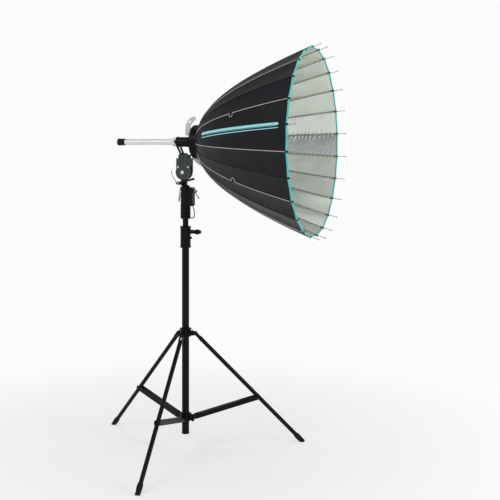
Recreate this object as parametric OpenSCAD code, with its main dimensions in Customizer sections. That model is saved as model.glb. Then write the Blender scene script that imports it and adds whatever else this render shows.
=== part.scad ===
// Folding parabolic umbrella reflector on a light stand, with a focusing tube,
// a tilt head, a spigot receiver and a sliding riser.
// Millimetres. Origin on the floor under the stand's column. +Z up,
// +X along the reflector's axis towards its mouth. The reflector is open,
// the tripod is spread and the riser is nearly all the way down.

/* [Reflector] */
// radius of the mouth at the edge binding
mouth_r = 440; // [400:10:460]
// depth from the profile's apex to the mouth
dish_depth = 568; // [548:4:600]
// height of the reflector's axis above the floor
axis_z = 1500; // [1490:5:1510]
// number of ribs
rib_count = 24; // [24]
// radius of a rib rod
rib_r = 2; // [1.6:0.1:2.2]
// how far a rib tip stands beyond the binding
tip_len = 44; // [30:2:60]

/* [Focusing tube] */
// outer radius of the focusing tube
focus_r = 15; // [15]
// radius of the lamp cradle's bore
cradle_bore_r = 36; // [30:1:37]

/* [Stand] */
// outer radius of the column
column_r = 17.5; // [17.5]
// outer radius of the riser
riser_r = 14; // [14]
// outer radius of a leg tube
leg_r = 10; // [9:0.5:10]
// radius of the feet on the floor
foot_radius = 585; // [575:5:590]

/* [Hidden] */
$fn = 48;

// clearances: running fit, and free space around unpiloted parts
run = 0.05;
gap = 0.5;

// dish profile: r = mouth_r * (c1 t^e1 + (1 - c1) t), t = X / dish_depth
c1 = 0.835;
e1 = 0.4;
dish_x = 78;
rib_off = 4.5;
function R(X) = mouth_r * (c1 * pow(X / dish_depth, e1) + (1 - c1) * X / dish_depth);
function dR(X) = mouth_r * (c1 * e1 * pow(X / dish_depth, e1 - 1) + 1 - c1) / dish_depth;
function P(X, o) = let (d = dR(X), n = sqrt(1 + d * d)) [dish_x + X + o * d / n, R(X) - o / n];
function T(X) = let (d = dR(X), n = sqrt(1 + d * d)) [1 / n, d / n];
x_first = dish_depth * 0.0211;
Xs = [x_first, dish_depth * 0.0417, dish_depth * 0.074, dish_depth * 0.1271, dish_depth * 0.2226, dish_depth * 0.4242, dish_depth];
p_first = P(x_first, rib_off);
t_first = T(x_first);
// hinge of a rib on the rear plate
hinge = p_first - 8 * t_first;
// chain of arcs that meet tangentially: [centre, radius, end angle, sweep, end point, end tangent]
function arcs(i, p, t) = i == len(Xs) ? [] :
  let (q = P(Xs[i], rib_off), d = q - p, n = [t[1], -t[0]],
       r = (d * d) / (2 * (n * d)), c = p + n * r,
       a0 = atan2(p[1] - c[1], p[0] - c[0]), a1 = atan2(q[1] - c[1], q[0] - c[0]),
       u = [q[1] - c[1], -(q[0] - c[0])] / r)
  concat([[c, r, a1, a0 - a1, q, u]], arcs(i + 1, q, u));
chain = arcs(1, p_first, t_first);
rib_end = chain[len(chain) - 1][4];
rib_dir = chain[len(chain) - 1][5];

// angle of rib number k round the axis, from +Z towards +Y
function rib_th(k) = -5.53 + 360 / rib_count * k;

// stretcher linkage
bracket_x = dish_depth * 0.352;
bracket = P(bracket_x, 22);
bracket_a = atan2(T(bracket_x)[1], T(bracket_x)[0]);
runner_x = 120;
runner_r = 38;
str_v = bracket - [runner_x, runner_r];
str_len = norm(str_v);
str_ang = atan2(str_v[1], str_v[0]);

// tilt axis
tilt_x = -7;
tilt_z = axis_z - 147;

// tripod
leg_az = [153.24, -86.76, 33.24];
leg_top = [49, 569];
leg_foot = [foot_radius, 10];
leg_v = leg_foot - leg_top;
leg_len = norm(leg_v);
leg_ang = atan2(leg_v[0], -leg_v[1]);
joint_t = 0.589 * leg_len;
joint_p = leg_top + joint_t * [sin(leg_ang), -cos(leg_ang)];
brace_in = [50, 166];
brace_v = joint_p - brace_in;
brace_len = norm(brace_v);
brace_ang = atan2(brace_v[1], brace_v[0]);

// places a child drawn along +Z with its start at the origin, from a to b
module along(a, b) {
  v = b - a;
  translate(a) rotate([0, acos(v[2] / norm(v)), atan2(v[1], v[0])]) children();
}
module rod(a, b, r) { along(a, b) cylinder(r = r, h = norm(b - a), $fn = 20); }
// turns a child drawn in the XZ plane round the reflector's axis
module round_axis(th) { translate([0, 0, axis_z]) rotate([-th, 0, 0]) children(); }
// a cylinder along +X centred on the reflector's axis
module xcyl(x0, x1, r) { translate([x0, 0, axis_z]) rotate([0, 90, 0]) cylinder(r = r, h = x1 - x0); }
module xtube(x0, x1, r, ri) {
  difference() { xcyl(x0, x1, r); xcyl(x0 - 1, x1 + 1, ri); }
}
module ztube(z0, z1, r, ri) {
  difference() {
    translate([0, 0, z0]) cylinder(r = r, h = z1 - z0);
    translate([0, 0, z0 - 1]) cylinder(r = ri, h = z1 - z0 + 2);
  }
}

// ---- stand ----
module column() {
  color([0.09, 0.09, 0.09]) {
    ztube(96, 1020, column_r, 15.2);
    // end plug
    difference() {
      union() {
        translate([0, 0, 86]) cylinder(r = column_r + 0.6, h = 9.95);
        translate([0, 0, 95.95]) cylinder(r = 15.1, h = 14);
      }
      translate([0, 0, 80]) cylinder(r = 5, h = 40);
    }
  }
}

// screw boss on a collar, at height z, pointing along +X
module boss(z, x0, x1, r) { translate([x0, 0, z]) rotate([0, 90, 0]) cylinder(r = r, h = x1 - x0); }

module lower_collar() {
  color([0.07, 0.07, 0.07]) difference() {
    union() {
      translate([0, 0, 150]) cylinder(r = 27, h = 34);
      translate([0, 0, 178]) cylinder(r = 28.5, h = 4);
      for (a = leg_az) rotate([0, 0, a]) {
        translate([20, -11, 158]) cube([30, 22, 16]);
        translate([50, 11, 166]) rotate([90, 0, 0]) cylinder(r = 8, h = 22);
      }
      rotate([0, 0, -26.76]) boss(167, 20, 36, 8);
    }
    translate([0, 0, 149]) cylinder(r = column_r + 0.05, h = 36);
    for (a = leg_az) rotate([0, 0, a]) translate([50, 20, 166]) rotate([90, 0, 0]) cylinder(r = 3 + run, h = 40);
    rotate([0, 0, -26.76]) boss(167, 10, 40, 3 + run);
  }
}

module upper_collar() {
  color([0.07, 0.07, 0.07]) difference() {
    union() {
      translate([0, 0, 558]) cylinder(r = 27, h = 38);
      translate([0, 0, 590]) cylinder(r = 29, h = 6);
      for (a = leg_az) rotate([0, 0, a]) {
        translate([20, -5, 559]) cube([29, 10, 20]);
        translate([49, 5, 569]) rotate([90, 0, 0]) cylinder(r = 10, h = 10);
      }
      rotate([0, 0, -26.76]) boss(582, 20, 37, 8);
    }
    translate([0, 0, 557]) cylinder(r = column_r + 0.06, h = 40);
    for (a = leg_az) rotate([0, 0, a]) translate([49, 20, 569]) rotate([90, 0, 0]) cylinder(r = 3 + run, h = 40);
    rotate([0, 0, -26.76]) boss(582, 10, 40, 3 + run);
  }
}

module riser_clamp() {
  color([0.07, 0.07, 0.07]) difference() {
    union() {
      translate([0, 0, 988]) cylinder(r = 25, h = 103);
      translate([0, 0, 988]) cylinder(r = 26.5, h = 8);
      translate([0, 0, 1083]) cylinder(r = 26.5, h = 8);
      boss(1065, 18, 36, 10);
      // small stop block beside the clamp screw
      translate([20, -6, 1030]) cube([12, 12, 10]);
    }
    translate([0, 0, 987]) cylinder(r = column_r + 0.05, h = 33.1);
    translate([0, 0, 1000]) cylinder(r = riser_r + run, h = 100);
    boss(1065, 10, 40, 4 + run);
    // clamp slit
    translate([-30, -1, 1030]) cube([18, 2, 70]);
  }
}

// wing knob whose screw runs along X from x0, head from x1
module wing(x0, x1, z, sr, reach, hole) {
  boss(z, x0, x1 + 1, sr);
  boss(z, x1, x1 + 16, 9);
  difference() {
    union() {
      translate([x1 + 8, 3, z - 9]) rotate([90, 0, 0]) linear_extrude(6)
        polygon([[0, 0], [reach * 0.55, -4], [reach - 9, 0], [reach - 9, 18], [reach * 0.55, 22], [0, 18]]);
      translate([x1 + 8 + reach - 9, 3, z]) rotate([90, 0, 0]) cylinder(r = 9, h = 6);
    }
    if (hole) translate([x1 + 8 + reach - 9, 8, z]) rotate([90, 0, 0]) cylinder(r = 4, h = 16);
  }
}
module riser_knob() { color([0.1, 0.1, 0.1]) wing(14.4, 37, 1065, 4, 37, false); }
module upper_knob() { color([0.1, 0.1, 0.1]) rotate([0, 0, -26.76]) wing(17.9, 38, 582, 3, 20, true); }
module lower_knob() { color([0.1, 0.1, 0.1]) rotate([0, 0, -26.76]) wing(17.9, 37, 167, 3, 20, true); }

module leg(a) {
  color([0.1, 0.1, 0.1]) rotate([0, 0, a]) {
    translate([leg_top[0], 0, leg_top[1]]) rotate([0, -leg_ang, 0]) {
      // tube, measured down from the hinge
      difference() {
        translate([0, 0, -leg_len + 2]) cylinder(r = leg_r, h = leg_len - 32);
        translate([0, 0, -leg_len]) cylinder(r = leg_r - 1.5, h = leg_len - 40);
      }
      // fork on the collar's lug, with its pin
      for (s = [-1, 1]) {
        translate([-8, s > 0 ? 5.2 : -9.2, -34]) cube([16, 4, 34]);
        translate([0, s > 0 ? 9.2 : -5.2, 0]) rotate([90, 0, 0]) cylinder(r = 8, h = 4);
      }
      translate([0, 10.4, 0]) rotate([90, 0, 0]) cylinder(r = 3, h = 20.8);
    }
    // foot
    difference() {
      intersection() {
        translate([leg_top[0], 0, leg_top[1]]) rotate([0, -leg_ang, 0])
          translate([0, 0, -leg_len - 16]) cylinder(r = 12, h = 48);
        translate([400, -50, 0]) cube([400, 100, 60]);
      }
      translate([leg_top[0], 0, leg_top[1]]) rotate([0, -leg_ang, 0])
        translate([0, 0, -leg_len + 2]) cylinder(r = leg_r, h = 60);
    }
  }
}

module brace(a) {
  color([0.1, 0.1, 0.1]) rotate([0, 0, a]) translate([brace_in[0], 0, brace_in[1]]) rotate([0, -brace_ang, 0]) {
    // cheeks of the channel
    for (s = [-1, 1]) {
      y0 = s > 0 ? 11.2 : -13.2;
      translate([0, y0, -11]) cube([brace_len, 2, 22]);
      for (u = [0, brace_len]) translate([u, y0 + 2, 0]) rotate([90, 0, 0]) cylinder(r = 11, h = 2);
      // rivet heads, outside only
      translate([brace_len, s > 0 ? 15.2 : -13.2, 0]) rotate([90, 0, 0]) cylinder(r = 5, h = 2);
    }
    // web
    translate([16, -13.2, 9]) cube([212, 26.4, 2]);
    // inner pin
    translate([0, 14.6, 0]) rotate([90, 0, 0]) cylinder(r = 3, h = 29.2);
  }
}

module riser_tube() { color([0.12, 0.12, 0.12]) ztube(150, 1190, riser_r, 12.4); }

module receiver_body() {
  color([0.06, 0.06, 0.06]) difference() {
    union() {
      translate([0, 0, 1128]) cylinder(r = 24, h = 154);
      for (z = [1136 : 13 : 1188]) translate([0, 0, z]) cylinder(r = 25.5, h = 5);
      translate([0, 0, 1266]) cylinder(r = 26, h = 10);
      translate([10, -16, 1192]) cube([33, 32, 88]);
      // hanging strap
      rod([-20, 0, 1279], [-33, 0, 1215], 1.6);
      translate([-33, 0, 1214]) sphere(r = 2.8, $fn = 16);
    }
    translate([0, 0, 1127]) cylinder(r = riser_r + 0.05, h = 63.1);
    translate([0, 0, 1230]) cylinder(r = 8 + run, h = 60);
    translate([0, 0, 1262]) rotate([0, 90, 0]) cylinder(r = 4 + run, h = 60);
    // slot for the trigger
    translate([27.5, -9, 1170]) cube([20, 18, 30]);
    translate([36, 20, 1193]) rotate([90, 0, 0]) cylinder(r = 2 + run, h = 40);
  }
}

module receiver_trigger() {
  color([0.1, 0.1, 0.1]) {
    translate([36, 8, 1193]) rotate([90, 0, 0]) cylinder(r = 5, h = 16);
    translate([36, 15.9, 1193]) rotate([90, 0, 0]) cylinder(r = 2, h = 31.8);
    // finger loop
    rod([37, 0, 1191], [45, 0, 1170], 2.2);
    translate([45, 0, 1170]) sphere(r = 2.7, $fn = 16);
    rod([45, 0, 1170], [46.5, 0, 1142], 2.2);
    translate([46.5, 0, 1142]) sphere(r = 2.7, $fn = 16);
    rod([46.5, 0, 1142], [40, 0, 1132], 2.2);
    translate([40, 0, 1132]) sphere(r = 2.7, $fn = 16);
    rod([40, 0, 1132], [29, 0, 1131.5], 2.2);
    translate([29, 0, 1131.5]) sphere(r = 2.9, $fn = 16);
  }
}

module receiver_screw() {
  color([0.5, 0.5, 0.5]) {
    boss(1262, 8.4, 44, 4);
    boss(1262, 43.6, 58, 7);
    rod([51, 0, 1258], [68, 0, 1229], 2.2);
    translate([68, 0, 1229]) sphere(r = 4, $fn = 24);
  }
}

// ---- tilt head ----
module ycyl(x, z, y0, y1, r) { translate([x, y1, z]) rotate([90, 0, 0]) cylinder(r = r, h = y1 - y0); }

module tilt_base() {
  color([0.15, 0.16, 0.16]) difference() {
    union() {
      translate([0, 0, 1236]) cylinder(r = 8, h = 48);
      translate([0, 0, 1283]) cylinder(r = 20, h = 7);
      translate([-20, -10, 1289]) cube([26, 20, tilt_z - 1289]);
      ycyl(tilt_x, tilt_z, -10.8, 10.8, 27);
      // lug and pin of the tilt lever
      translate([-30, -12, 1292]) cube([16, 6, 16]);
      ycyl(-28, 1301, -27.5, -7, 6.5);
      ycyl(-28, 1301, -39.5, -27, 3);
      ycyl(-28, 1301, -41, -39, 5);
    }
    ycyl(tilt_x, tilt_z, -30, 30, 6 + run);
  }
}

module head_body() {
  color([0.22, 0.26, 0.25]) difference() {
    union() {
      for (s = [-1, 1]) {
        ycyl(tilt_x, tilt_z, s > 0 ? 11.2 : -20, s > 0 ? 20 : -11.2, 37);
        translate([-41, s > 0 ? 11.2 : -20, tilt_z]) cube([72, 8.8, 50]);
      }
      translate([-41, -20, tilt_z + 32]) cube([72, 40, 36]);
      translate([-30, -19, tilt_z + 60]) cube([50, 38, 26]);
      // ridges on the upper block
      for (x = [-26, -8, 10]) translate([x, -22, tilt_z + 40]) cube([6, 44, 40]);
      // tilt pin
      ycyl(tilt_x, tilt_z, -23.5, 23.5, 6);
      for (x = [-30.5, 22]) ycyl(x, tilt_z + 25, -21.5, 21.5, 4);
    }
    // screw heads' sockets
    for (x = [-30.5, 22]) {
      ycyl(x, tilt_z + 25, -25, -20.2, 2.2);
      ycyl(x, tilt_z + 25, 20.2, 25, 2.2);
    }
  }
}

module tilt_lever() {
  color([0.1, 0.11, 0.11]) difference() {
    union() {
      ycyl(-28, 1301, -38.4, -28, 9.5);
      rod([-28, -33, 1301], [55, -33, 1322], 5);
      translate([55, -33, 1322]) sphere(r = 6.2, $fn = 24);
      // thin finger wire
      rod([-32, -33, 1305], [-52, -33, 1328], 1.5);
      translate([-52, -33, 1328]) sphere(r = 2, $fn = 16);
      rod([-52, -33, 1328], [-61, -33, 1357], 1.5);
      translate([-61, -33, 1358]) sphere(r = 2.4, $fn = 16);
    }
    ycyl(-28, 1301, -50, -20, 3 + run);
  }
}

module tube_clamp() {
  color([0.08, 0.08, 0.08]) {
    difference() {
      union() {
        xcyl(-43, 21, 24);
        xcyl(-43, -37, 26);
        xcyl(15, 21, 26);
        // diagonal arm down to the head, forked round the tube
        for (s = [-1, 1]) {
          rod([-46, s * 21, axis_z + 2], [-14, s * 15, axis_z - 67], 5);
          translate([-46, s * 21, axis_z + 2]) sphere(r = 6.5, $fn = 24);
          rod([-46, s * 21, axis_z + 2], [-34, s * 17, axis_z + 2], 5);
        }
        // foot of the arm on the head
        translate([-24, -20, tilt_z + 86]) cube([26, 40, 7]);
      }
      xcyl(-60, 40, focus_r + run);
      translate([-80, -40, tilt_z + 60]) cube([120, 80, 26]);
    }
    // light locking collar behind the clamp
    xtube(-64, -52, 22, focus_r + 0.2);
    xtube(-52, -43, 20, focus_r + 0.2);
  }
}

// ---- hub ----
module rear_plate() {
  color([0.08, 0.08, 0.08]) difference() {
    union() {
      translate([21, 0, axis_z]) rotate([0, 90, 0]) cylinder(r1 = 19, r2 = 32, h = 24);
      xcyl(45, 50, 34);
      // disc with a thicker rim, and the crown that carries the ribs
      xcyl(49, 56, hinge[1] + 10);
      xcyl(52, 65, hinge[1] + 11);
      xcyl(56, hinge[0] + 6.5, hinge[1] + 8);
    }
    xcyl(10, 80, focus_r + 0.3);
    xcyl(56, 120, hinge[1] - 9);
    // slots for the rib eyes
    for (k = [0 : rib_count - 1]) round_axis(rib_th(k)) translate([hinge[0] - 4.3, -2.6, hinge[1] - 12]) cube([20, 5.2, 40]);
    // channel for the hinge wire
    translate([hinge[0], 0, axis_z]) rotate([0, 90, 0]) rotate_extrude($fn = 96) translate([hinge[1], 0]) circle(r = 1.25, $fn = 16);
    // push-rod holes
    for (th = [-30, 150]) round_axis(th) translate([30, 0, 46]) rotate([0, 90, 0]) cylinder(r = 4.08, h = 60);
    // lightening holes
    for (th = [15 : 45 : 330]) if (abs(th - 150) > 10) round_axis(th) translate([30, 0, 50]) rotate([0, 90, 0]) cylinder(r = 6, h = 60);
  }
}

module rib_pins() {
  color([0.6, 0.6, 0.6]) translate([hinge[0], 0, axis_z]) rotate([0, 90, 0])
    rotate_extrude($fn = 96) translate([hinge[1], 0]) circle(r = 1.2, $fn = 16);
}

module guide_tube() {
  color([0.55, 0.55, 0.55]) {
    difference() {
      union() { xcyl(56, 178, 18); xcyl(160, 164, 22); xcyl(56, 62, 26); }
      xcyl(40, 190, focus_r + 0.4);
    }
  }
}

module runner() {
  color([0.1, 0.1, 0.1]) difference() {
    union() {
      xcyl(runner_x - 8, runner_x + 8, 29);
      for (j = [0 : 5]) round_axis(rib_th(4 * j)) for (s = [-1, 1]) {
        translate([runner_x - 5, s > 0 ? 2.8 : -5.3, 24]) cube([10, 2.5, runner_r - 24]);
        translate([runner_x, s > 0 ? 5.3 : -2.8, runner_r]) rotate([90, 0, 0]) cylinder(r = 5, h = 2.5, $fn = 32);
      }
      for (j = [0 : 5]) round_axis(rib_th(4 * j)) translate([runner_x, 6, runner_r]) rotate([90, 0, 0]) cylinder(r = 1.5, h = 12, $fn = 24);
      for (th = [-30, 150]) round_axis(th) translate([runner_x - 6, -7, 20]) cube([12, 14, 32]);
    }
    xcyl(runner_x - 20, runner_x + 20, 18 + run);
    for (th = [-30, 150]) round_axis(th) translate([runner_x - 20, 0, 46]) rotate([0, 90, 0]) cylinder(r = 4.05, h = 40);
  }
}

// grip blade of a pull handle, in the XZ plane, thickness along Y
module grip() {
  translate([0, 4.5, 0]) rotate([90, 0, 0]) linear_extrude(9) difference() {
    union() {
      polygon([[14, 40], [32, 40], [39, 58], [42, 82], [55, 104], [72, 117], [60, 136], [40, 122], [24, 98], [14, 68]]);
      translate([66, 127]) circle(r = 11.5, $fn = 32);
    }
    translate([66, 127]) circle(r = 5.5, $fn = 32);
    polygon([[40, 100], [55, 116], [50, 121], [36, 106]]);
  }
}
module pull_handles() {
  color([0.72, 0.72, 0.72]) for (th = [-30, 150]) round_axis(th) {
    grip();
    translate([16, 0, 46]) rotate([0, 90, 0]) cylinder(r = 4, h = runner_x + 8 - 16, $fn = 32);
    translate([12, -8, 40]) cube([14, 16, 14]);
  }
}

module focus_tube() { color([0.85, 0.85, 0.85]) xtube(-340, 215, focus_r, 13.05); }
module tube_cap() {
  color([0.08, 0.08, 0.08]) {
    difference() {
      union() { xcyl(-363, -324, 17); xcyl(-356, -352, 18); }
      xcyl(-340, -300, focus_r + 0.02);
    }
  }
}
module lamp_cradle() {
  color([0.08, 0.08, 0.08]) difference() {
    union() {
      xcyl(190, 216, 13);
      xcyl(215, 262, cradle_bore_r + 5);
    }
    xcyl(221, 270, cradle_bore_r);
    // ventilation slots
    for (th = [0 : 60 : 300]) round_axis(th) translate([232, -3.5, 20]) cube([18, 7, 40]);
  }
}

// ---- ribs ----
// sleeve over a joint of the rod, at p along the tangent t
module ferrule(p, t) {
  translate([p[0] - 3.5 * t[0], 0, p[1] - 3.5 * t[1]]) rotate([0, 90 - atan2(t[1], t[0]), 0]) cylinder(r = rib_r + 0.6, h = 7, $fn = 16);
}
module rib(k) {
  color([0.35, 0.34, 0.33]) round_axis(rib_th(k)) {
    // hinge eye
    difference() {
      union() {
        translate([hinge[0], 2.1, hinge[1]]) rotate([90, 0, 0]) cylinder(r = 3.8, h = 4.2, $fn = 24);
        rod([hinge[0] + 2 * t_first[0], 0, hinge[1] + 2 * t_first[1]], [p_first[0] - 0.5 * t_first[0], 0, p_first[1] - 0.5 * t_first[1]], rib_r);
      }
      translate([hinge[0], 8, hinge[1]]) rotate([90, 0, 0]) cylinder(r = 1.35, h = 16, $fn = 16);
    }
    // the rod: arcs that stop half a millimetre short of each ferrule's middle
    for (c = chain) let (cut = 0.5 / c[1] * 57.3) translate([c[0][0], 0, c[0][1]]) rotate([90, 0, 0]) rotate([0, 0, c[2] + cut])
      rotate_extrude(angle = c[3] - 2 * cut, $fn = 72) translate([c[1], 0]) circle(r = rib_r, $fn = 14);
    ferrule(p_first, t_first);
    for (c = chain) ferrule(c[4], c[5]);
    rod([rib_end[0] + 0.5 * rib_dir[0], 0, rib_end[1] + 0.5 * rib_dir[1]], [rib_end[0] + tip_len * rib_dir[0], 0, rib_end[1] + tip_len * rib_dir[1]], rib_r * 0.8);
    translate([rib_end[0] + tip_len * rib_dir[0], 0, rib_end[1] + tip_len * rib_dir[1]]) sphere(r = 3, $fn = 16);
    // bracket for a stretcher on every fourth rib
    if (k % 4 == 0) for (s = [-1, 1]) difference() {
      translate([bracket[0], s > 0 ? 3.9 : -2.3, bracket[1]]) rotate([90, 0, 0]) rotate([0, 0, bracket_a])
        linear_extrude(1.6) polygon([[-6, -4], [6, -4], [8, 18.2], [-8, 18.2]]);
      translate([bracket[0], 8, bracket[1]]) rotate([90, 0, 0]) cylinder(r = 1.5, h = 16, $fn = 20);
    }
    if (k % 4 == 0) translate([bracket[0], 0, bracket[1]]) rotate([0, -bracket_a, 0])
      difference() { translate([-8, -3.9, 14.2]) cube([16, 7.8, 6.5]); }
  }
}

module stretcher(j) {
  color([0.4, 0.4, 0.4]) round_axis(rib_th(4 * j)) translate([runner_x, 0, runner_r]) rotate([0, -str_ang, 0]) difference() {
    union() {
      translate([0, 2, 0]) rotate([90, 0, 0]) cylinder(r = 4.4, h = 4, $fn = 32);
      translate([3, 0, 0]) rotate([0, 90, 0]) cylinder(r = 2.4, h = str_len - 14, $fn = 20);
      translate([str_len - 14, -1.6, -3]) cube([14, 3.2, 6]);
      translate([str_len, 1.6, 0]) rotate([90, 0, 0]) cylinder(r = 3.6, h = 3.2, $fn = 24);
    }
    translate([0, 8, 0]) rotate([90, 0, 0]) cylinder(r = 1.55, h = 16, $fn = 24);
    translate([str_len, 8, 0]) rotate([90, 0, 0]) cylinder(r = 1.5, h = 16, $fn = 20);
  }
}

// ---- canopy ----
canopy_n = 18;
function cx(i) = let (t = i / canopy_n) 14 + (dish_depth - 14) * t * t * (2 - t);
module canopy() {
  color([0.16, 0.16, 0.17]) translate([0, 0, axis_z]) rotate([0, 90, 0]) rotate_extrude($fn = 72)
    polygon(concat([for (i = [0 : canopy_n]) let (p = P(cx(i), -0.3)) [p[1], p[0]]],
                   [for (i = [canopy_n : -1 : 0]) let (p = P(cx(i), -1.5)) [p[1], p[0]]]));
}

column();
lower_collar();
riser_clamp();
upper_collar();
leg(leg_az[0]);  // leg_a
leg(leg_az[1]);  // leg_b
leg(leg_az[2]);  // leg_c
brace(leg_az[0]);  // brace_a
brace(leg_az[1]);  // brace_b
brace(leg_az[2]);  // brace_c
riser_tube();
receiver_body();
riser_knob();
upper_knob();
lower_knob();
receiver_trigger();
receiver_screw();
tilt_base();
head_body();
tilt_lever();
tube_clamp();
rear_plate();
guide_tube();
rib_pins();
canopy();
focus_tube();
tube_cap();
lamp_cradle();
runner();
pull_handles();
rib(0);  // rib_01
rib(1);  // rib_02
rib(2);  // rib_03
rib(3);  // rib_04
rib(4);  // rib_05
rib(5);  // rib_06
rib(6);  // rib_07
rib(7);  // rib_08
rib(8);  // rib_09
rib(9);  // rib_10
rib(10);  // rib_11
rib(11);  // rib_12
rib(12);  // rib_13
rib(13);  // rib_14
rib(14);  // rib_15
rib(15);  // rib_16
rib(16);  // rib_17
rib(17);  // rib_18
rib(18);  // rib_19
rib(19);  // rib_20
rib(20);  // rib_21
rib(21);  // rib_22
rib(22);  // rib_23
rib(23);  // rib_24
stretcher(0);  // stretcher_1
stretcher(1);  // stretcher_2
stretcher(2);  // stretcher_3
stretcher(3);  // stretcher_4
stretcher(4);  // stretcher_5
stretcher(5);  // stretcher_6
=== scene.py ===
import math
import bpy, bmesh
import numpy as np
from mathutils import Vector, Matrix


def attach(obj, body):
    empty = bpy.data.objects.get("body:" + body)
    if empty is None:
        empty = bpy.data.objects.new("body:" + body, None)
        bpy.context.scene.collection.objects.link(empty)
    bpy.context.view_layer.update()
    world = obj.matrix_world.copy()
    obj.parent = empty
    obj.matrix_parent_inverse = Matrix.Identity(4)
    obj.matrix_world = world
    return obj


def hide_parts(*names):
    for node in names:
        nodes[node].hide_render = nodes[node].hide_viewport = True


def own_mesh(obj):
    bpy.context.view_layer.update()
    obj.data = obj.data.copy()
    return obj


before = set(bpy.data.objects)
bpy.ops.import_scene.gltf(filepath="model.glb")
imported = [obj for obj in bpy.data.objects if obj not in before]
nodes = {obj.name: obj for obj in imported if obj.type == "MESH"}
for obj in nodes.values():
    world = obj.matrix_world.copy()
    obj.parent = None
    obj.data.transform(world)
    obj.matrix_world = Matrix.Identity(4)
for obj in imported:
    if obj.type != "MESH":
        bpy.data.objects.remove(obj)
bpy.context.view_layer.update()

COL = bpy.context.scene.collection

# ------------------------------------------------------------------ numbers
MR, DEP, DX, C1, E1, AX = 0.440, 0.568, 0.078, 0.835, 0.40, 1.5
TH0, NR = -5.53, 24
HALF = math.radians(7.5)


def R(X):
    t = max(X, 1e-5) / DEP
    return MR * (C1 * t ** E1 + (1 - C1) * t)


def dR(X):
    t = max(X, 1e-5) / DEP
    return MR * (C1 * E1 * t ** (E1 - 1) + (1 - C1)) / DEP


def prof(X, out):
    """Point (x, r) of the dish profile, moved outward by out."""
    d = dR(X)
    n = math.hypot(1, d)
    return DX + X - out * d / n, R(X) + out / n


def tang(X):
    d = dR(X)
    n = math.hypot(1, d)
    return 1 / n, d / n


def rib_th(k):
    return math.radians(TH0 + 15 * k)


def surf(X, s, k, out):
    """World point of the canopy: X along the axis, s from -1 to 1 across rib k's half-gores."""
    x, r = prof(X, out)
    a = abs(s)
    r = r - 0.017 * R(X) * a * (2 - a)
    th = rib_th(k) + s * HALF
    return Vector((x, r * math.sin(th), AX + r * math.cos(th)))


# ------------------------------------------------------------------ materials
def material(name, color, rough=0.5, metal=0.0, bump=0.0, scale=60.0, vary=0.15, sheen=0.0,
             coat=0.0, kind="noise", rough_vary=0.1, distance=0.001, sheen_tint=None, spec=0.5):
    m = bpy.data.materials.new(name)
    m.use_nodes = True
    nt = m.node_tree
    b = nt.nodes["Principled BSDF"]
    tc = nt.nodes.new("ShaderNodeTexCoord")
    n1 = nt.nodes.new("ShaderNodeTexNoise")
    n1.inputs["Scale"].default_value = scale
    n1.inputs["Detail"].default_value = 6
    nt.links.new(tc.outputs["Object"], n1.inputs["Vector"])
    ramp = nt.nodes.new("ShaderNodeValToRGB")
    lo = [c * (1 - vary) for c in color]
    hi = [min(1, c * (1 + vary)) for c in color]
    ramp.color_ramp.elements[0].color = (*lo, 1)
    ramp.color_ramp.elements[0].position = 0.3
    ramp.color_ramp.elements[1].color = (*hi, 1)
    ramp.color_ramp.elements[1].position = 0.7
    nt.links.new(n1.outputs["Fac"], ramp.inputs["Fac"])
    nt.links.new(ramp.outputs["Color"], b.inputs["Base Color"])
    rr = nt.nodes.new("ShaderNodeMapRange")
    rr.inputs["To Min"].default_value = max(0.02, rough - rough_vary)
    rr.inputs["To Max"].default_value = min(1, rough + rough_vary)
    nt.links.new(n1.outputs["Fac"], rr.inputs["Value"])
    nt.links.new(rr.outputs["Result"], b.inputs["Roughness"])
    b.inputs["Metallic"].default_value = metal
    b.inputs["Specular IOR Level"].default_value = spec
    b.inputs["Coat Weight"].default_value = coat
    b.inputs["Coat Roughness"].default_value = 0.25
    b.inputs["Sheen Weight"].default_value = sheen
    b.inputs["Sheen Roughness"].default_value = 0.45
    if sheen_tint:
        b.inputs["Sheen Tint"].default_value = (*sheen_tint, 1)
    if bump > 0:
        bp = nt.nodes.new("ShaderNodeBump")
        bp.inputs["Strength"].default_value = bump
        bp.inputs["Distance"].default_value = distance
        if kind == "weave":
            w1 = nt.nodes.new("ShaderNodeTexWave")
            w1.wave_type, w1.bands_direction = "BANDS", "X"
            w1.inputs["Scale"].default_value = 420
            w2 = nt.nodes.new("ShaderNodeTexWave")
            w2.wave_type, w2.bands_direction = "BANDS", "Z"
            w2.inputs["Scale"].default_value = 420
            for w in (w1, w2):
                w.inputs["Distortion"].default_value = 0.4
                nt.links.new(tc.outputs["Object"], w.inputs["Vector"])
            mx = nt.nodes.new("ShaderNodeMath")
            mx.operation = "MULTIPLY"
            nt.links.new(w1.outputs["Fac"], mx.inputs[0])
            nt.links.new(w2.outputs["Fac"], mx.inputs[1])
            n2 = nt.nodes.new("ShaderNodeTexNoise")
            n2.inputs["Scale"].default_value = 14
            n2.inputs["Detail"].default_value = 3
            nt.links.new(tc.outputs["Object"], n2.inputs["Vector"])
            ad = nt.nodes.new("ShaderNodeMath")
            ad.operation = "MULTIPLY_ADD"
            nt.links.new(mx.outputs[0], ad.inputs[0])
            ad.inputs[1].default_value = 0.06
            nt.links.new(n2.outputs["Fac"], ad.inputs[2])
            nt.links.new(ad.outputs[0], bp.inputs["Height"])
        else:
            n2 = nt.nodes.new("ShaderNodeTexNoise")
            n2.inputs["Scale"].default_value = scale * 9
            n2.inputs["Detail"].default_value = 4
            nt.links.new(tc.outputs["Object"], n2.inputs["Vector"])
            nt.links.new(n2.outputs["Fac"], bp.inputs["Height"])
        nt.links.new(bp.outputs["Normal"], b.inputs["Normal"])
    return m


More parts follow.
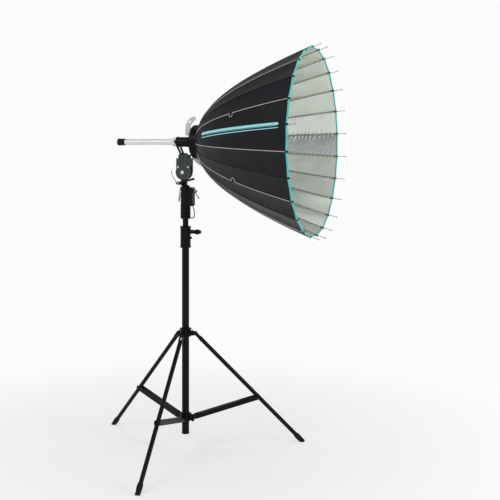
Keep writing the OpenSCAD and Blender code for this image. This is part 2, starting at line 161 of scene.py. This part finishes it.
M = {
    "fabric_black": material("fabric_black", (0.0026, 0.0036, 0.0056), 0.44, 0, 0.35, 5, 0.25, spec=0.18, sheen=0.02, kind="weave", distance=0.004, sheen_tint=(0.75, 0.9, 1.0)),
    "seam_black": material("seam_black", (0.005, 0.005, 0.0055), 0.7, 0, 0.4, 40, 0.2, spec=0.15),
    "piping_grey": material("piping_grey", (0.44, 0.42, 0.40), 0.6, 0, 0.3, 120, 0.12),
    "binding_cyan": material("binding_cyan", (0.05, 0.50, 0.47), 0.55, 0, 0.35, 150, 0.16, sheen=0.2),
    "tab_black": material("tab_black", (0.008, 0.008, 0.009), 0.7, 0, 0.4, 150, 0.2, spec=0.2),
    "stripe": material("stripe", (0.30, 0.66, 0.70), 0.5, 0, 0.2, 200, 0.06),
    "coat_black": material("coat_black", (0.0022, 0.0025, 0.0025), 0.38, 0.0, 0.22, 260, 0.25, spec=0.13, distance=0.0004),
    "plastic_black": material("plastic_black", (0.0026, 0.0027, 0.0028), 0.34, 0, 0.15, 300, 0.2, distance=0.0004, spec=0.15),
    "head_grey": material("head_grey", (0.030, 0.047, 0.043), 0.40, 0.1, 0.15, 220, 0.12, spec=0.35, distance=0.0004),
    "steel": material("steel", (0.55, 0.55, 0.55), 0.28, 1.0, 0.12, 180, 0.08, distance=0.0003),
    "steel_pale": material("steel_pale", (0.72, 0.73, 0.73), 0.42, 0.35, 0.08, 180, 0.05, distance=0.0003),
    "steel_dark": material("steel_dark", (0.20, 0.20, 0.20), 0.35, 0.9, 0.12, 180, 0.1, distance=0.0003),
    "rib_rod": material("rib_rod", (0.36, 0.34, 0.31), 0.34, 0.85, 0.1, 90, 0.15),
    "tube_light": material("tube_light", (0.66, 0.66, 0.665), 0.36, 0.25, 0.03, 30, 0.03, coat=0.2, rough_vary=0.04, distance=0.0002),
    "grip_grey": material("grip_grey", (0.58, 0.61, 0.60), 0.5, 0, 0.2, 160, 0.08, distance=0.0004),
    "rubber": material("rubber", (0.007, 0.007, 0.007), 0.75, 0, 0.5, 150, 0.25, distance=0.0005, spec=0.25),
    "floor": material("floor", (0.93, 0.93, 0.93), 0.75, 0, 0.02, 3, 0.01),
}


def lining_material(name, lo, hi, rough, strength, dist, crinkle, metal=0.75):
    """Pearly silver cloth: metallic, with fine crinkles. crinkle 1 is hammered all over, 0 is nearly smooth."""
    m = bpy.data.materials.new(name)
    m.use_nodes = True
    nt = m.node_tree
    b = nt.nodes["Principled BSDF"]
    tc = nt.nodes.new("ShaderNodeTexCoord")
    n1 = nt.nodes.new("ShaderNodeTexNoise")
    n1.inputs["Scale"].default_value = 7
    n1.inputs["Detail"].default_value = 3
    vo = nt.nodes.new("ShaderNodeTexVoronoi")
    vo.feature = "F1"
    vo.inputs["Scale"].default_value = 150
    vo.inputs["Randomness"].default_value = 1.0
    n3 = nt.nodes.new("ShaderNodeTexNoise")
    n3.inputs["Scale"].default_value = 240
    n3.inputs["Detail"].default_value = 4
    # creases stretched along the axis of the dish
    mp = nt.nodes.new("ShaderNodeMapping")
    mp.inputs["Scale"].default_value = (1.0, 3.6, 3.6)
    nt.links.new(tc.outputs["Object"], mp.inputs["Vector"])
    n4 = nt.nodes.new("ShaderNodeTexNoise")
    n4.inputs["Scale"].default_value = 16
    n4.inputs["Detail"].default_value = 5
    n4.inputs["Distortion"].default_value = 0.6
    nt.links.new(mp.outputs["Vector"], n4.inputs["Vector"])
    for n in (n1, vo, n3):
        nt.links.new(tc.outputs["Object"], n.inputs["Vector"])
    ramp = nt.nodes.new("ShaderNodeValToRGB")
    ramp.color_ramp.elements[0].color = (*lo, 1)
    ramp.color_ramp.elements[1].color = (*hi, 1)
    nt.links.new(n1.outputs["Fac"], ramp.inputs["Fac"])
    nt.links.new(ramp.outputs["Color"], b.inputs["Base Color"])
    b.inputs["Metallic"].default_value = metal
    b.inputs["Roughness"].default_value = rough

    def madd(x, k, y):
        q = nt.nodes.new("ShaderNodeMath")
        q.operation = "MULTIPLY_ADD"
        nt.links.new(x, q.inputs[0])
        q.inputs[1].default_value = k
        nt.links.new(y, q.inputs[2])
        return q.outputs[0]
    h = madd(n3.outputs["Fac"], 0.10, n4.outputs["Fac"])
    h = madd(vo.outputs["Distance"], 1.5 * crinkle, h)
    bp = nt.nodes.new("ShaderNodeBump")
    bp.inputs["Strength"].default_value = strength
    bp.inputs["Distance"].default_value = dist
    nt.links.new(h, bp.inputs["Height"])
    nt.links.new(bp.outputs["Normal"], b.inputs["Normal"])
    return m


M["lining_silver"] = lining_material("lining_silver", (0.56, 0.61, 0.545), (0.66, 0.71, 0.645), 0.42, 0.22, 0.0022, 0.05)
# painted highlight: a brighter copy of the silver lining for two panels, with a stronger crinkle bump and lower
# roughness
M["lining_crinkled_painted_highlight"] = lining_material("lining_crinkled_painted_highlight", (0.56, 0.61, 0.55), (0.74, 0.79, 0.73), 0.34, 0.42, 0.003, 0.22)
# painted shade: a darker copy of the silver lining for two panels, with a strong hammered bump
M["lining_hammered_painted_shade"] = lining_material("lining_hammered_painted_shade", (0.34, 0.37, 0.36), (0.50, 0.54, 0.53), 0.34, 0.42, 0.0022, 0.8, 0.8)


# ------------------------------------------------------------------ mesh helpers
def new_mesh(name, verts, faces, mat, smooth=True):
    me = bpy.data.meshes.new(name)
    me.from_pydata([tuple(v) for v in verts], [], faces)
    me.validate()
    bm = bmesh.new()
    bm.from_mesh(me)
    bmesh.ops.recalc_face_normals(bm, faces=bm.faces)
    bm.to_mesh(me)
    bm.free()
    me.polygons.foreach_set("use_smooth", [smooth] * len(me.polygons))
    o = bpy.data.objects.new(name, me)
    COL.objects.link(o)
    me.materials.append(M[mat])
    return o


def grid(name, nu, nv, f, mat):
    """Open sheet: f(i, j) for i in 0..nu, j in 0..nv."""
    verts = [f(i, j) for i in range(nu + 1) for j in range(nv + 1)]
    faces = [(i * (nv + 1) + j, i * (nv + 1) + j + 1, (i + 1) * (nv + 1) + j + 1, (i + 1) * (nv + 1) + j)
             for i in range(nu) for j in range(nv)]
    return new_mesh(name, verts, faces, mat)


def sweep(name, path, radius, mat, seg=10, flat=1.0, up=None, caps=True):
    """Tube along a path of points. radius may be a number or a list. flat < 1 flattens it along `up`."""
    P = [Vector(p) for p in path]
    n = len(P)
    rad = radius if isinstance(radius, (list, tuple)) else [radius] * n
    verts, faces = [], []
    prev = None
    for i in range(n):
        t = (P[min(i + 1, n - 1)] - P[max(i - 1, 0)]).normalized()
        ref = Vector(up[i]) if isinstance(up, list) else (Vector(up) if up is not None else (prev if prev is not None else (Vector((0, 0, 1)) if abs(t.z) < 0.9 else Vector((1, 0, 0)))))
        a = (ref - t * ref.dot(t)).normalized()
        c = t.cross(a).normalized()
        prev = a
        for j in range(seg):
            w = 2 * math.pi * j / seg
            verts.append(P[i] + a * (math.cos(w) * rad[i] * flat) + c * (math.sin(w) * rad[i]))
    for i in range(n - 1):
        for j in range(seg):
            faces.append((i * seg + j, i * seg + (j + 1) % seg, (i + 1) * seg + (j + 1) % seg, (i + 1) * seg + j))
    if caps:
        faces.append(tuple(range(seg))[::-1])
        faces.append(tuple((n - 1) * seg + j for j in range(seg)))
    return new_mesh(name, verts, faces, mat)


def lathe(name, pts, origin, axis, mat, seg=48):
    """Solid of revolution: pts are (along, radius) pairs, about `axis` through `origin`."""
    ax = Vector(axis).normalized()
    a = ax.orthogonal().normalized()
    b = ax.cross(a)
    o0 = Vector(origin)
    verts, faces = [], []
    for (h, r) in pts:
        for j in range(seg):
            w = 2 * math.pi * j / seg
            verts.append(o0 + ax * h + (a * math.cos(w) + b * math.sin(w)) * max(r, 1e-5))
    for i in range(len(pts) - 1):
        for j in range(seg):
            faces.append((i * seg + j, i * seg + (j + 1) % seg, (i + 1) * seg + (j + 1) % seg, (i + 1) * seg + j))
    faces.append(tuple(range(seg))[::-1])
    faces.append(tuple((len(pts) - 1) * seg + j for j in range(seg)))
    o = new_mesh(name, verts, faces, mat)
    edge_smooth(o, 35)
    return o


def edge_smooth(o, deg):
    me = o.data
    bm = bmesh.new()
    bm.from_mesh(me)
    for e in bm.edges:
        e.smooth = not (len(e.link_faces) == 2 and e.calc_face_angle(0) > math.radians(deg))
    for f in bm.faces:
        f.smooth = True
    bm.to_mesh(me)
    bm.free()


def bevel(o, w, seg=2, angle=32):
    m = o.modifiers.new("bevel", "BEVEL")
    m.width, m.segments, m.limit_method, m.angle_limit = w, seg, "ANGLE", math.radians(angle)
    m.harden_normals = False
    return m


# ------------------------------------------------------------------ CAD nodes: finishes
FIN = {
    "column": "coat_black", "lower_collar": "coat_black", "riser_clamp": "coat_black", "upper_collar": "coat_black",
    "leg_a": "coat_black", "leg_b": "coat_black", "leg_c": "coat_black",
    "brace_a": "coat_black", "brace_b": "coat_black", "brace_c": "coat_black",
    "riser_tube": "coat_black", "receiver_body": "plastic_black", "riser_knob": "plastic_black",
    "upper_knob": "plastic_black", "lower_knob": "plastic_black", "receiver_trigger": "plastic_black",
    "receiver_screw": "steel_dark", "tilt_base": "coat_black", "head_body": "head_grey", "tilt_lever": "plastic_black",
    "tube_clamp": "coat_black", "rear_plate": "coat_black", "guide_tube": "steel", "rib_pins": "steel",
    "focus_tube": "tube_light", "tube_cap": "plastic_black", "lamp_cradle": "plastic_black",
    "runner": "plastic_black", "pull_handles": "grip_grey",
}
for name, o in nodes.items():
    if name == "canopy":
        continue
    key = FIN.get(name, "rib_rod" if name.startswith("rib_") else "steel_dark")
    o.data.materials.clear()
    o.data.materials.append(M[key])
    for p in o.data.polygons:
        p.use_smooth = True
    if name.startswith("rib_") or name in ("canopy", "rib_pins"):
        ns = o.modifiers.new("split", "EDGE_SPLIT")
        ns.split_angle = math.radians(50)
    else:
        bevel(o, 0.0007, 2)
        ns = o.modifiers.new("split", "EDGE_SPLIT")
        ns.split_angle = math.radians(35)

# ------------------------------------------------------------------ canopy
NS = 12                       # divisions across a wing
LF = 3                        # how much finer the lining is than the outer cloth, along the axis
# bands along the axis: name, from, to, divisions, share of the width left when folded
X_A = 0.014
BANDS = [("hub", X_A, 0.050, 8, 0.985), ("low", 0.050, 0.130, 10, 0.81),
         ("mid", 0.130, 0.290, 16, 0.63), ("main", 0.290, 0.385, 10, 0.42), ("far", 0.385, 0.480, 10, 0.335),
         ("end", 0.480, DEP, 9, 0.255)]


def axes(k):
    th = rib_th(k)
    rad = Vector((0, math.sin(th), math.cos(th)))
    tan = Vector((0, math.cos(th), -math.sin(th)))
    return rad, tan


def rib_body(k):
    return "rib_%02d_body" % (k % NR + 1)


def canopy_piece(o, k):
    rad, tan = axes(k)
    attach(o, rib_body(k))
    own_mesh(o)
    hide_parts("canopy")
    return o


def arc_len_table():
    xs = np.linspace(0.001, DEP, 600)
    ps = np.array([prof(x, 0) for x in xs])
    L = np.concatenate([[0], np.cumsum(np.hypot(*np.diff(ps, axis=0).T))])
    return xs, L


AXS, ALEN = arc_len_table()


def alen(X):
    return float(np.interp(X, AXS, ALEN))


rng = np.random.default_rng(7)
PH = rng.uniform(0, 6.28, (NR * 2, 6))


# how much each panel's lining is puckered, and which lining copy it shows: the panels near the horizontal are looser.
# Panels 5 and 17 get the brighter copy with painted highlight, panels 6 and 18 the darker copy with painted shade.
PUCK = [1.0] * NR
PUCK[4], PUCK[5], PUCK[6], PUCK[1], PUCK[9], PUCK[10] = 1.5, 2.3, 1.6, 1.4, 1.2, 1.4
FINISH_AND_PAINTED_LIGHT = ["lining_silver"] * NR
FINISH_AND_PAINTED_LIGHT[5], FINISH_AND_PAINTED_LIGHT[6], FINISH_AND_PAINTED_LIGHT[17], FINISH_AND_PAINTED_LIGHT[18] = "lining_crinkled_painted_highlight", "lining_hammered_painted_shade", "lining_crinkled_painted_highlight", "lining_hammered_painted_shade"


def lining_out(X, s, k):
    """How far the lining stands from the dish profile: creases that fan out from the ribs, and slack across the panels.
    Both sides of a line between two panels give the same value."""
    L = alen(X)
    a = abs(s)
    g = k % NR if s >= 0 else (k - 1) % NR          # number of the panel
    p = PH[g]
    u = (s if s >= 0 else s + 2)                    # 0..2 across the panel, same for both wings
    mid = math.sin(math.pi * u / 2)
    # sharp creases that start at each rib, slant away from it and fade towards the middle
    w = 0.0
    for e, (near, slant) in enumerate(((u, 0.020), (2 - u, -0.016))):
        ph = (L + slant * near + 0.004 * math.sin(L * 41 + p[e])) * 6.283 / 0.021 + p[2 + e]
        crest = (0.5 + 0.5 * math.sin(ph)) ** 3
        gate = 0.35 + 0.65 * (0.5 + 0.5 * math.sin(L * 11 + p[4 + e]))
        w += crest * gate * math.exp(-(near / 0.42) ** 2) * min(1.0, near / 0.05)
    slack = mid * (0.5 + 0.5 * math.sin(L * 6.283 / 0.120 + p[0] + 1.3 * math.sin(u * 3.1 + p[2])))
    fade = min(1.0, (DEP - X) / 0.02) * min(1.0, (X - X_A) / 0.03)
    return 0.0002 - fade * (0.0013 * PUCK[g] * w + 0.0011 * slack)


def outer_out(X, s, k):
    L = alen(X)
    g = k % NR if s >= 0 else (k - 1) % NR
    p = PH[NR + g]
    u = (s if s >= 0 else s + 2)
    mid = math.sin(math.pi * u / 2)
    fade = min(1.0, (DEP - X) / 0.04) * min(1.0, (X - X_A) / 0.04)
    return 0.0022 + fade * 0.0007 * mid * math.sin(L * 6.283 / 0.16 + p[0] + 0.9 * math.sin(u * 2.2 + p[1]))


for k in range(NR):
    for bname, xa, xb, nx, keep in BANDS:
        def fo(i, j, xa=xa, xb=xb, nx=nx):
            X = xa + (xb - xa) * (i / nx) ** (1.2 if xa < 0.1 else 1.0)
            s = -1 + 2 * j / NS
            return surf(X, s, k, outer_out(X, s, k))

        def fi(i, j, xa=xa, xb=xb, nx=nx):
            X = xa + (xb - xa) * (i / (LF * nx)) ** (1.2 if xa < 0.1 else 1.0)
            s = -1 + 2 * j / (2 * NS)
            return surf(X, s, k, lining_out(X, s, k))
        canopy_piece(grid("outer_%s_%02d" % (bname, k), nx, NS, fo, "fabric_black"), k)
        # finer along the axis where it shows most
        o = grid("lining_%s_%02d" % (bname, k), nx * LF, NS * 2, fi, FINISH_AND_PAINTED_LIGHT[k])
        # the wing on the low side of the rib belongs to the previous panel
        if FINISH_AND_PAINTED_LIGHT[(k - 1) % NR] != FINISH_AND_PAINTED_LIGHT[k]:
            o.data.materials.append(M[FINISH_AND_PAINTED_LIGHT[(k - 1) % NR]])
            for q in range(len(o.data.polygons)):
                if q % (NS * 2) < NS:
                    o.data.polygons[q].material_index = 1
        canopy_piece(o, k)

# edge binding, one length per rib, open at the rib for the tab
TG = 0.075      # share of the half-gore taken by the tab
for k in range(NR):
    for side in (-1, 1):
        path, ups = [], []
        for j in range(9):
            s = side * (TG + (1 - TG) * j / 8)
            p = surf(DEP, s, k, 0.0012)
            tx, tr = tang(DEP)
            th = rib_th(k) + s * HALF
            path.append(p + Vector((tx * 0.0005, tr * 0.0005 * math.sin(th), tr * 0.0005 * math.cos(th))))
            ups.append(Vector((0, math.sin(th), math.cos(th))))
        b = sweep("binding_%02d_%s" % (k, "a" if side < 0 else "b"), path, 0.0042, "binding_cyan", seg=12, flat=0.62, up=ups)
        canopy_piece(b, k)
    # tab that holds the rib at the edge
    rad, tan = axes(k)
    tx, tr = tang(DEP)
    t3 = Vector((tx, tr * rad.y, tr * rad.z))
    n3 = Vector((-tr, tx * rad.y, tx * rad.z))
    path, rr = [], []
    for q, w in ((-0.012, 0.0034), (-0.010, 0.0046), (-0.004, 0.0052), (0.002, 0.0052), (0.005, 0.0046), (0.0065, 0.0034)):
        x, r = prof(DEP, -0.0008)
        path.append(Vector((x, r * rad.y, AX + r * rad.z)) + t3 * q)
        rr.append(w)
    tab = sweep("tab_%02d" % k, path, rr, "tab_black", seg=12, flat=0.95, up=[n3] * len(path))
    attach(tab, rib_body(k))

# seams: grey piping on every second rib, a flat black seam on the others
X_NOTCH, NR_W, NR_D = 0.262, 0.0105, 0.0165
BULGE = {0: 1, 4: -1, 8: 1, 12: -1, 16: 1, 20: -1}
for k in range(NR):
    rad, tan = axes(k)
    grey = k % 2 == 0
    pts, ups = [], []
    bul = BULGE.get(k)
    Xs = list(np.linspace(X_A, DEP - 0.004, 70))
    if bul:
        Ln = alen(X_NOTCH)
        keepX = [x for x in Xs if abs(alen(x) - Ln) > NR_W + 0.006]
        lo = [x for x in keepX if x < X_NOTCH]
        hi = [x for x in keepX if x > X_NOTCH]
        samples = [(x, 0.0) for x in lo]
        for q in range(0, 19):
            a = math.pi * q / 18
            l = Ln - NR_W * math.cos(a)
            samples.append((float(np.interp(l, ALEN, AXS)), bul * NR_D * math.sin(a) ** 0.8))
        samples += [(x, 0.0) for x in hi]
    else:
        samples = [(x, 0.0) for x in Xs]
    for X, off in samples:
        s = off / (R(X) * HALF)
        p = surf(X, s, k, 0.0030 if grey else 0.0026)
        pts.append(p)
        ups.append(rad)
    sm = sweep("seam_%02d" % k, pts, 0.0016 if grey else 0.0012, "piping_grey" if grey else "seam_black", seg=8, flat=0.8, up=ups)
    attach(sm, rib_body(k))
    if bul:
        # black flap inside the notch
        def ff(i, j, k=k, bul=bul):
            a = math.pi * j / 16
            rho = i / 4
            l = alen(X_NOTCH) - NR_W * math.cos(a) * rho
            X = float(np.interp(l, ALEN, AXS))
            off = bul * NR_D * (math.sin(a) ** 0.8) * rho
            return surf(X, off / (R(X) * HALF), k, 0.0030 + 0.0012 * (1 - rho * rho))
        fl = grid("notch_%02d" % k, 4, 16, ff, "seam_black")
        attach(fl, rib_body(k))

# two plain pale stripes along one of the near seams, a wide one and a fine one
K_ST = 19


def stripe(name, x0, x1, centre, half, n=80):
    def fs(i, j):
        X = x0 + (x1 - x0) * i / n
        w = half * math.sqrt(max(0.0, 1 - (abs(2 * i / n - 1)) ** 60))
        off = centre + w * (2 * j / 6 - 1)
        s = off / (R(X) * HALF)
        return surf(X, s, K_ST, max(outer_out(X, s, K_ST), 0.0022) + 0.0007 + 0.0003 * (1 - (2 * j / 6 - 1) ** 2))
    o = grid(name, n, 6, fs, "stripe")
    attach(o, rib_body(K_ST))


stripe("stripe_wide", 0.078, 0.530, 0.0055, 0.0078)
stripe("stripe_fine", 0.078, 0.530, -0.0105, 0.0018)

# hub sleeve: the fabric's hem on the rear plate
def sleeve(name, mat, out0, pts):
    for k in range(NR):
        def f(i, j):
            x, r = pts[i]
            th = rib_th(k) + (-1 + 2 * j / 4) * HALF
            return Vector((x, r * math.sin(th), AX + r * math.cos(th)))
        o = grid("%s_%02d" % (name, k), len(pts) - 1, 4, f, mat)
        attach(o, rib_body(k))
        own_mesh(o)


sleeve("hem", "seam_black", 0, [(0.0936, 0.0852), (0.0932, 0.0838), (0.0918, 0.0828), (0.0900, 0.0826), (0.0884, 0.0836),
                                (0.0878, 0.0852), (0.0884, 0.0872), (0.0902, 0.0890), (0.0914, 0.0898)])

# ------------------------------------------------------------------ hardware details that ride on the CAD bodies
def piece(o, body):
    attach(o, body)
    return o


TX, TZ = -0.007, 1.353
for sy in (-1, 1):
    y0 = 0.0234 * sy
    ax = (0, sy, 0)
    piece(lathe("tilt_screw", [(0, 0.0085), (0.0012, 0.0085), (0.0022, 0.0075), (0.0022, 0.0035), (0.0008, 0.0033)], (TX, y0, TZ), ax, "steel_pale"), "head")
    for x in (-0.0305, 0.022):
        piece(lathe("small_screw", [(0, 0.0045), (0.0008, 0.0045), (0.0014, 0.0038), (0.0014, 0.0018), (0.0004, 0.0016)], (x, 0.0213 * sy, TZ + 0.025), ax, "steel_pale"), "head")
piece(lathe("lever_ring", [(0, 0.0056), (0, 0.0082), (0.0010, 0.0086), (0.0018, 0.0082), (0.0018, 0.0056)], (-0.028, -0.0383, 1.301), (0, -1, 0), "steel_pale"), "tilt_lever_body")
# light locking ring behind the tube clamp
piece(lathe("lock_ring", [(0, 0.0158), (0, 0.0222), (0.0010, 0.0228), (0.0030, 0.0228), (0.0042, 0.0220), (0.0060, 0.0228), (0.0090, 0.0228), (0.0102, 0.0220),
                          (0.0120, 0.0228), (0.0150, 0.0228), (0.0162, 0.0220), (0.0180, 0.0226), (0.0200, 0.0226), (0.0210, 0.0218), (0.0210, 0.0158)],
      (-0.0645, 0, AX), (1, 0, 0), "tube_light"), "head")
# pale strap hanging from the receiver's rim
piece(sweep("strap", [(-0.0235, -0.006, 1.2795), (-0.0275, -0.0065, 1.268), (-0.0300, -0.007, 1.250), (-0.0325, -0.0065, 1.232), (-0.0338, -0.006, 1.216), (-0.0330, -0.006, 1.208)],
            [0.0022, 0.0026, 0.0026, 0.0026, 0.0030, 0.0018], "grip_grey", 10), "riser")

# rubber feet
for key, az in (("a", 153.24), ("b", -86.76), ("c", 33.24)):
    a = math.radians(az)
    er = Vector((math.cos(a), math.sin(a), 0))
    top = er * 0.049 + Vector((0, 0, 0.569))
    d = (er * 0.585 + Vector((0, 0, 0.010)) - top).normalized()
    L = 0.77445
    pts = [(L - 0.040, 0.0104), (L - 0.038, 0.0124), (L - 0.034, 0.0128), (L - 0.020, 0.0129), (L - 0.006, 0.0129)]
    piece(lathe("foot_sleeve_" + key, pts, top, d, "rubber", 32), "leg_%s_body" % key)
    for q in (0.028, 0.022, 0.016):
        piece(lathe("foot_ring_" + key, [(L - q - 0.0012, 0.0128), (L - q - 0.0008, 0.0136), (L - q + 0.0008, 0.0136), (L - q + 0.0012, 0.0128)], top, d, "rubber", 32), "leg_%s_body" % key)

# ------------------------------------------------------------------ stage, light, camera
bpy.ops.mesh.primitive_plane_add(size=240, location=(0, 0, 0))
floor = bpy.context.active_object
floor.name = "floor"
floor.data.materials.append(M["floor"])
# the floor fades to the backdrop's white with distance, so that no horizon shows
nt = M["floor"].node_tree
geo = nt.nodes.new("ShaderNodeNewGeometry")
ln = nt.nodes.new("ShaderNodeVectorMath")
ln.operation = "LENGTH"
nt.links.new(geo.outputs["Position"], ln.inputs[0])
fade = nt.nodes.new("ShaderNodeMapRange")
fade.interpolation_type = "SMOOTHSTEP"
fade.inputs["From Min"].default_value = 0.5
fade.inputs["From Max"].default_value = 2.2
fade.inputs["To Min"].default_value = 0.55
nt.links.new(ln.outputs["Value"], fade.inputs["Value"])
em = nt.nodes.new("ShaderNodeEmission")
em.inputs["Strength"].default_value = 0.97
mixs = nt.nodes.new("ShaderNodeMixShader")
nt.links.new(fade.outputs["Result"], mixs.inputs["Fac"])
nt.links.new(nt.nodes["Principled BSDF"].outputs["BSDF"], mixs.inputs[1])
nt.links.new(em.outputs["Emission"], mixs.inputs[2])
nt.links.new(mixs.outputs["Shader"], nt.nodes["Material Output"].inputs["Surface"])

world = bpy.data.worlds.new("world")
bpy.context.scene.world = world
world.use_nodes = True
bg = world.node_tree.nodes["Background"]
bg.inputs["Color"].default_value = (1.0, 1.0, 1.0, 1)
bg.inputs["Strength"].default_value = 0.42
# the camera sees the backdrop white
wn = world.node_tree
bg2 = wn.nodes.new("ShaderNodeBackground")
bg2.inputs["Color"].default_value = (1, 1, 1, 1)
bg2.inputs["Strength"].default_value = 0.97
lp = wn.nodes.new("ShaderNodeLightPath")
mw = wn.nodes.new("ShaderNodeMixShader")
wn.links.new(lp.outputs["Is Camera Ray"], mw.inputs["Fac"])
wn.links.new(bg.outputs["Background"], mw.inputs[1])
wn.links.new(bg2.outputs["Background"], mw.inputs[2])
wn.links.new(mw.outputs["Shader"], wn.nodes["World Output"].inputs["Surface"])


def area(name, loc, target, size, power, color=(1, 1, 1)):
    L = bpy.data.lights.new(name, "AREA")
    L.shape, L.size, L.energy, L.color = "SQUARE", size, power, color
    o = bpy.data.objects.new(name, L)
    COL.objects.link(o)
    o.location = loc
    o.rotation_euler = (Vector(target) - Vector(loc)).to_track_quat("-Z", "Y").to_euler()
    return o


area("key", (-1.4, -3.4, 3.6), (0.2, 0, 1.2), 2.0, 62)
area("side", (4.2, -0.6, 2.4), (0.5, 0, 1.5), 1.4, 60)
area("top", (0.4, 0.6, 4.6), (0.2, 0, 1.2), 2.4, 34)

cam_data = bpy.data.cameras.new("cam")
cam_data.sensor_width = 36
cam_data.lens = 925.4666 / 500 * 36
cam_data.shift_y = (144.6446 - 250) / 500
cam = bpy.data.objects.new("cam", cam_data)
COL.objects.link(cam)
azr, D, H, TX0 = 0.3372, 4.3855, 1.487, 0.3317
cam.location = (TX0 + D * math.sin(azr), -D * math.cos(azr), H)
cam.rotation_euler = (math.radians(90), 0, azr)
bpy.context.scene.camera = cam
bpy.context.scene.view_settings.view_transform = "Standard"
